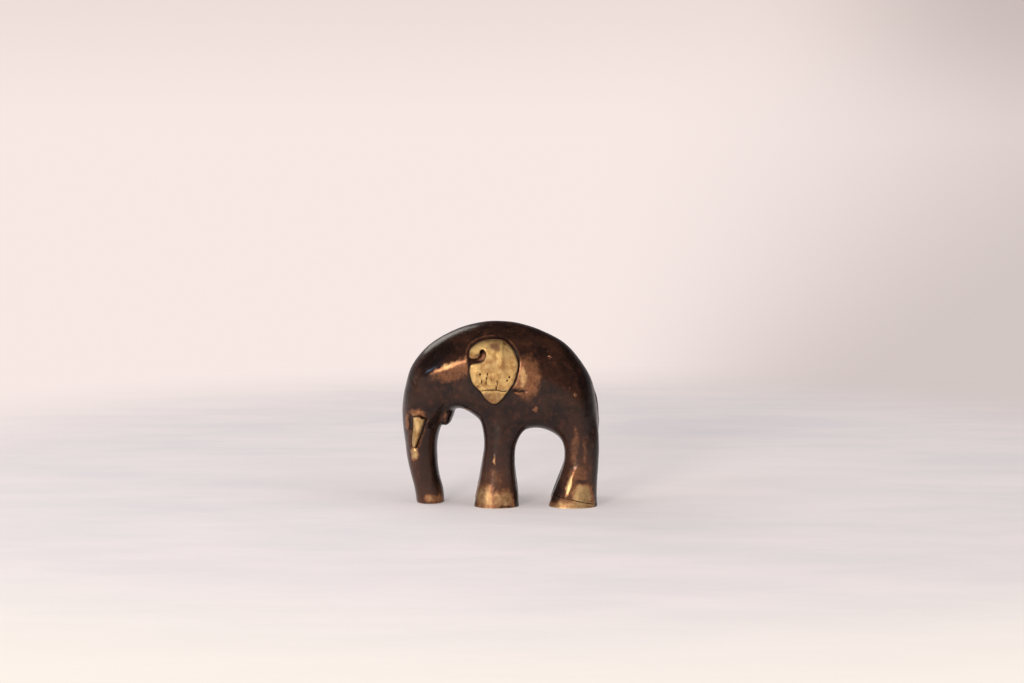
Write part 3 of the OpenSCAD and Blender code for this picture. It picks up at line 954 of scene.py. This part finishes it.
def casting_material(name, thin=0.0):
    """Dark glossy patina over brass; thin says how far it has worn off overall."""
    made, n, shader = material(name)
    where = n.millimetres()
    z = n.split(where)[2]
    broad = n.noise(where, 0.16, 3, 0.5)
    cloudy = n.noise(where, 0.55, 5, 0.65)
    fine = n.noise(where, 2.6, 4, 0.7)

    # Noise breaks up the edges of the worn places.
    worn = n.math("ADD", n.add("Attribute", attribute_name="worn").outputs["Fac"], thin)
    broken = n.math("ADD", n.math("MULTIPLY", cloudy, 0.5), n.math("MULTIPLY", fine, 0.26))
    broken = n.math("MULTIPLY", n.math("SUBTRACT", broken, 0.38),
                    n.fade(worn, 0.05, 0.5, 0.35, 1.1))
    worn = n.math("ADD", worn, broken, clamp=True)
    deep = n.add("Attribute", attribute_name="deep").outputs["Fac"]

    patina = n.mix(n.fade(broad, 0.35, 0.65), *PATINA)
    # Lighter brown towards the bottom: a painted reflection of the bright floor.
    patina = n.mix(n.fade(z, 27, 8, 0, 0.7), patina, PATINA_WITH_FLOOR_SHEEN)
    patina = n.mix(n.fade(cloudy, 0.48, 0.72, 0, 0.5), patina, PATINA_RED)
    # Painted shade and thick black patina: near black where the skin is shaded or the patina is
    # thick.
    patina = n.mix(n.math("MULTIPLY", deep, 0.95), patina, BLACK_PATINA_AND_SHADE)
    copper = n.mix(fine, *COPPER)
    brass = n.mix(cloudy, *BRASS)
    colour = n.mix(n.fade(worn, 0.12, 0.58), patina, copper)
    colour = n.mix(n.fade(worn, 0.50, 0.86), colour, brass)
    tarnish = n.noise(n.placed(where, size=(0.8, 0.8, 2.0)), 1.2, 5, 0.65)
    colour = n.mix(n.fade(tarnish, 0.48, 0.72, 0, 0.6), colour, n.mix(0.75, colour, TARNISH))

    metal = n.math("ADD", n.fade(worn, 0.12, 0.58, 0.0, 0.6), n.fade(worn, 0.50, 0.86, 0, 0.38))
    gloss = n.math("ADD", n.fade(worn, 0.2, 0.7, 0.24, 0.46),
                   n.math("MULTIPLY", n.math("SUBTRACT", cloudy, 0.5), 0.16))
    pores = n.fade(n.noise(where, 1.7, 2, 0.4), 0.68, 0.78, 0, -1)
    skin = n.math("ADD", n.math("MULTIPLY", fine, 0.9), n.math("MULTIPLY", pores, 0.6))
    normal = n.bump(skin, 0.035, 0.5)
    strokes = n.noise(n.placed(where, size=(0.22, 0.5, 1.6), tilt=28), 1.6, 2, 0.5)
    normal = n.bump(n.math("MULTIPLY", strokes, n.fade(worn, 0.3, 0.7)), 0.05, 0.6, normal)
    n.put(shader.inputs["Base Color"], colour)
    n.put(shader.inputs["Metallic"], metal)
    n.put(shader.inputs["Roughness"], gloss)
    n.put(shader.inputs["Normal"], normal)
    shader.inputs["Specular IOR Level"].default_value = 0.27
    return made


# Marks on the inlays: short scratches, a crack, stains, and painted highlights where the light
# catches them.
SCRATCHES = [
    (-3.95, 40.65, 0.16, 0.5, 5, 1), (-4.1, 39.4, 0.16, 0.55, 0, 1),
    (-4.3, 38.0, 0.17, 0.65, 0, 1), (-5.6, 38.4, 0.16, 0.75, 0, 1),
    (-6.8, 37.05, 0.15, 0.4, 0, 0.9), (-1.25, 36.6, 0.16, 0.9, 0, 0.9),
    (-1.0, 38.0, 0.15, 0.8, 15, 0.8), (-2.7, 39.0, 0.12, 0.5, 0, 0.6),
    (1.95, 38.7, 0.3, 0.3, 0, 1), (2.65, 39.75, 0.28, 0.28, 0, 1), (-6.1, 40.55, 0.32, 0.3, 0, 1),
    (-23.4, 26.9, 0.5, 0.35, 0, 1),
]
STAINS = [
    (-3.4, 43.4, 3.0, 2.6, 30, 0.28), (1.2, 42.0, 2.0, 3.0, 0, 0.22),
    (-1.8, 48.8, 2.0, 1.2, -20, 0.85), (2.4, 46.4, 1.6, 2.0, 0, 0.3),
    (-6.8, 46.1, 0.9, 0.8, 0, 0.85), (-4.5, 33.4, 1.6, 2.2, -35, 0.75),
    (-1.2, 33.3, 2.6, 1.6, 0, 0.45), (-1.5, 35.8, 4.5, 0.35, 0, 0.5),
    (-8.6, 39.3, 0.8, 2.6, 0, 0.3), (4.4, 41.4, 0.9, 3.2, 0, 0.3),
    (-25.9, 19.2, 0.6, 1.9, 15, 0.25),
]
PAINTED_HIGHLIGHTS = [
    (-6.0, 48.6, 3.2, 2.0, 20, 0.9), (-8.3, 40.5, 0.8, 3.6, 0, 0.7),
    (-7.7, 42.2, 1.1, 1.6, 0, 0.9), (-8.2, 48.0, 1.2, 1.0, 0, 0.8),
    (-5.2, 49.2, 2.6, 1.0, 12, 0.7), (2.3, 37.7, 1.8, 1.9, 0, 0.3), (0.3, 48.8, 0.5, 1.9, 0, 0.6),
    (-25.2, 24.8, 0.8, 2.9, 14, 0.7),
]


def inlay_material(name, base, light):
    """Brushed brass, tarnished along its edge and in its scratches, with painted highlights."""
    made, n, shader = material(name)
    where = n.millimetres()
    side, rough = n.side_views(where)
    rim = n.add("Attribute", attribute_name="rim").outputs["Fac"]
    cloudy = n.noise(where, 0.5, 5, 0.6)
    brushed = n.noise(n.placed(where, size=(0.16, 1, 2.2), tilt=4), 1.0, 3, 0.6)
    speck = n.noise(where, 3.2, 2, 0.5)
    colour = n.mix(n.fade(cloudy, 0.35, 0.65), base, light)
    # Painted highlights: lighter brass on the lit top and front of the ear, its ridge and the
    # tusk's left side.
    colour = n.mix(n.spots(rough, PAINTED_HIGHLIGHTS), colour, tuple(min(c * 1.3, 1) for c in light))
    colour = n.mix(n.fade(brushed, 0.5, 0.8, 0, 0.35), colour, tuple(c * 0.5 for c in base))
    stain = n.math("MAXIMUM", n.spots(rough, STAINS), n.fade(speck, 0.66, 0.76, 0, 0.35))
    edge = n.math("ADD", rim, n.math("MULTIPLY", n.math("SUBTRACT", cloudy, 0.5), 0.5))
    stain = n.math("MAXIMUM", stain, n.fade(edge, 0.34, 0.02, 0, 0.9))
    colour = n.mix(stain, colour, INLAY_STAIN)
    scratches = n.spots(side, SCRATCHES)
    colour = n.mix(scratches, colour, INLAY_SCRATCH)
    scored = n.math("MULTIPLY", scratches, -1.6)
    normal = n.bump(n.math("ADD", brushed, scored), 0.07, 0.8)
    normal = n.bump(n.noise(where, 1.3, 3, 0.6), 0.12, 0.5, normal)
    n.put(shader.inputs["Base Color"], colour)
    n.put(shader.inputs["Metallic"], n.math("SUBTRACT", 1.0, n.math("MULTIPLY", stain, 0.5)))
    n.put(shader.inputs["Roughness"], n.math("ADD", n.fade(brushed, 0.3, 0.8, 0.54, 0.64),
                                             n.math("MULTIPLY", stain, 0.08)))
    n.put(shader.inputs["Normal"], normal)
    return made


def plain_metal(name, dark, light, roughness):
    """Filed rod stock: two tones of metal with a fine grain."""
    made, n, shader = material(name)
    where = n.millimetres()
    grain = n.noise(n.placed(where, size=(0.3, 1.2, 0.3)), 1.2, 4, 0.6)
    n.put(shader.inputs["Base Color"], n.mix(n.fade(grain, 0.3, 0.7), dark, light))
    n.put(shader.inputs["Metallic"], n.fade(grain, 0.3, 0.5, 0.75, 1))
    n.put(shader.inputs["Roughness"], n.fade(grain, 0.3, 0.7, roughness + 0.1, roughness))
    n.put(shader.inputs["Normal"], n.bump(grain, 0.05, 0.6))
    return made


def clay_material(name):
    """Fired clay left inside the casting: rough, with grit and soot."""
    made, n, shader = material(name)
    where = n.millimetres()
    grit = n.noise(where, 2.2, 5, 0.7)
    soot = n.noise(where, 0.3, 3, 0.5)
    colour = n.mix(n.fade(grit, 0.35, 0.7), *CLAY)
    n.put(shader.inputs["Base Color"], n.mix(n.fade(soot, 0.5, 0.7, 0, 0.7), colour, SOOT))
    n.put(shader.inputs["Roughness"], n.fade(grit, 0.3, 0.7, 0.95, 0.8))
    n.put(shader.inputs["Normal"], n.bump(grit, 0.25, 0.8))
    return made


def wear(obj, made):
    obj.data.materials.clear()
    obj.data.materials.append(made)


wear(body, casting_material("dark_patina"))
sole_metal = casting_material("worn_brass", 0.12)
for obj in soles:
    wear(obj, sole_metal)
ear_metal = inlay_material("polished_brass", *EAR_BRASS)
tusk_metal = inlay_material("pale_brass", *TUSK_BRASS)
for part, plate in inlays:
    wear(plate, tusk_metal if part == "tusk" else ear_metal)
wear(pins, plain_metal("copper_pins", *PIN_COPPER, 0.36))

# The core and the plugs keep their CAD shape.
clay = clay_material("core_clay")
plug_metal = plain_metal("plug_brass", *PLUG_BRASS, 0.3)
for obj in bpy.data.objects:
    if obj.type != "MESH" or obj.hide_render or obj.name in (body.name, pins.name):
        continue
    if "core" in obj.name:
        wear(obj, clay)
    elif "plug" in obj.name:
        wear(obj, plug_metal)

# ---------------------------------------------------------------- studio

# The backdrop, light on the left, with painted shade on the right, towards the top and in the top
# right corner, and the floor before it.
HAZE = (0.93, 0.81, 0.775)
UPPER_SHADE = (0.70, 0.59, 0.55)
SHADE = (0.62, 0.54, 0.52)
CORNER_SHADE = (0.50, 0.42, 0.40)
SHADED = (0.04, 0.34, 0, 0.9)
CLOTH = ((0.71, 0.665, 0.66), (0.775, 0.715, 0.695))
CLOTH_NEAR_GLOW = (0.77, 0.69, 0.67)
CLOTH_IN_FRONT_GLOW = (0.985, 0.90, 0.815)
FLOOR_RADIUS = 40000
ROOM = (0.95, 0.9, 0.92)

# Name, distance, azimuth, elevation, size, energy, colour, seen in reflections.
LIGHTS = [
    ("key", 0.95, -23, 15.5, 0.22, 6.2, (1.0, 0.9, 0.81), True),
    ("overhead", 1.2, -10, 84, 2.6, 13.5, (0.96, 0.95, 1.0), False),
    ("left panel", 1.3, -110, 24, 1.5, 9.0, (1.0, 0.97, 0.97), False),
    ("right panel", 1.3, 70, 24, 1.5, 9.0, (1.0, 0.97, 0.97), False),
    ("window", 0.8, -62, 30, 0.2, 0.8, (0.55, 0.74, 1.0), True),
    ("back", 0.9, 205, 30, 0.4, 0.9, (1.0, 0.93, 0.86), True),
]
LIGHTS_AIM = Vector((0, 0, 28)) * MM
SENSOR = 36
LENS = 74.04
TARGET = Vector((3.4, 0, 49.1)) * MM
ELEVATION = math.radians(5.5)
DISTANCE = 0.64


def make_floor():
    """A pale cloth that glows in the backdrop's colour away from the figure, warmer in front, and
    half glows near the feet: painted light that lifts the shadows there.
    """
    verts = [(FLOOR_RADIUS * math.cos(a), FLOOR_RADIUS * math.sin(a), 0)
             for a in np.linspace(0, 2 * math.pi, 96, endpoint=False)]
    floor = new_object("floor", verts, [tuple(range(96))])
    made, n, shader = material("cloth")
    where = n.add("TexCoord").outputs["Object"]
    away = n.length(n.add("VectorMath", {0: where, 1: (0.02, 0.06, 0)},
                          operation="SUBTRACT").outputs[0])
    creases = n.noise(n.add("VectorMath", {0: where, 1: (1, 3, 1)},
                            operation="MULTIPLY").outputs[0], 14, 4, 0.6)
    cloth = n.mix(n.fade(creases, 0.3, 0.7), *CLOTH)
    n.put(shader.inputs["Base Color"], cloth)
    shader.inputs["Roughness"].default_value = 1
    shader.inputs["Specular IOR Level"].default_value = 0
    n.put(shader.inputs["Normal"], n.bump(creases, 1.5, 0.5))
    x, y, _ = n.split(where)
    sideways = n.math("DIVIDE", x, n.math("ADD", away, 0.2))
    haze = n.mix(n.fade(sideways, *SHADED), HAZE, SHADE)
    in_front = n.math("MULTIPLY", n.fade(y, 0.0, -0.16), n.fade(away, 1.2, 0.5))
    haze = n.mix(in_front, haze, CLOTH_IN_FRONT_GLOW)
    haze = n.mix(n.fade(away, 0.27, 0.1), haze, CLOTH_NEAR_GLOW)
    glow = n.add("Emission", {"Color": haze, "Strength": 1.0}).outputs[0]
    # Painted light: the floor glows far off, and half glows near the feet, which weakens their
    # shadows.
    lit = n.math("MAXIMUM", n.fade(away, 0.15, 0.34), n.fade(away, 0.12, 0.04, 0, 0.5))
    both = n.add("MixShader", {0: lit, 1: shader.outputs[0], 2: glow})
    n.put(made.node_tree.nodes["Material Output"].inputs["Surface"], both.outputs[0])
    floor.data.materials.append(made)


def make_world():
    """The camera sees a backdrop with painted shade and painted fold shading; the figure reflects
    a dim room.
    """
    world = bpy.data.worlds.new("studio")
    bpy.context.scene.world = world
    world.use_nodes = True
    n = Nodes(world.node_tree)
    way = n.add("TexCoord").outputs["Generated"]
    x, y, z = n.split(way)
    fold_shade = n.noise(n.placed(way, size=(0.5, 0.5, 1.8), tilt=-35), 2.2, 2, 0.4)
    sideways = n.math("ADD", x, n.math("MULTIPLY", n.math("SUBTRACT", fold_shade, 0.5),
                                       n.fade(z, 0.0, 0.05, 0, 0.25)))
    seen = n.mix(n.fade(sideways, *SHADED), HAZE, SHADE)
    seen = n.mix(n.fade(z, 0.0, 0.08, 0, 0.4), seen, UPPER_SHADE)
    corner = n.math("MULTIPLY", n.fade(x, 0.1, 0.24), n.fade(z, 0.0, 0.07, 0, 0.6))
    seen = n.mix(corner, seen, CORNER_SHADE)
    level = n.fade(z, 0.45, 0.02, 0.05, 1)
    side = n.math("MULTIPLY", n.fade(y, -0.3, 0.6, 0.08, 0.36), n.fade(x, 0.9, -0.5, 0.45, 1))
    dim = n.mix(n.math("MULTIPLY", level, side), (0.0, 0.0, 0.0), ROOM)
    is_camera = n.add("LightPath").outputs["Is Camera Ray"]
    background = world.node_tree.nodes["Background"]
    n.put(background.inputs["Color"], n.mix(is_camera, dim, seen))


def area_light(name, away, azimuth, elevation, size, energy, colour, glossy):
    """A soft panel aimed at the figure; azimuth 0 is the camera's side, positive to the right."""
    light = bpy.data.lights.new(name, "AREA")
    light.shape = "DISK"
    light.size, light.energy, light.color = size, energy, colour
    obj = bpy.data.objects.new(name, light)
    bpy.context.scene.collection.objects.link(obj)
    a, e = math.radians(azimuth), math.radians(elevation)
    outwards = Vector((math.sin(a) * math.cos(e), -math.cos(a) * math.cos(e), math.sin(e)))
    obj.location = LIGHTS_AIM + away * outwards
    obj.rotation_euler = (-outwards).to_track_quat("-Z", "Y").to_euler()
    obj.visible_camera = False
    obj.visible_glossy = glossy


def make_camera():
    camera = bpy.data.cameras.new("camera")
    obj = bpy.data.objects.new("camera", camera)
    bpy.context.scene.collection.objects.link(obj)
    forward = Vector((0, math.cos(ELEVATION), -math.sin(ELEVATION)))
    obj.location = TARGET - DISTANCE * forward
    obj.rotation_euler = (math.pi / 2 - ELEVATION, 0, 0)
    camera.sensor_width = SENSOR
    camera.lens = LENS
    camera.clip_start = 0.01
    bpy.context.scene.camera = obj


make_floor()
make_world()
for panel in LIGHTS:
    area_light(*panel)
make_camera()
bpy.context.scene.view_settings.view_transform = "Standard"
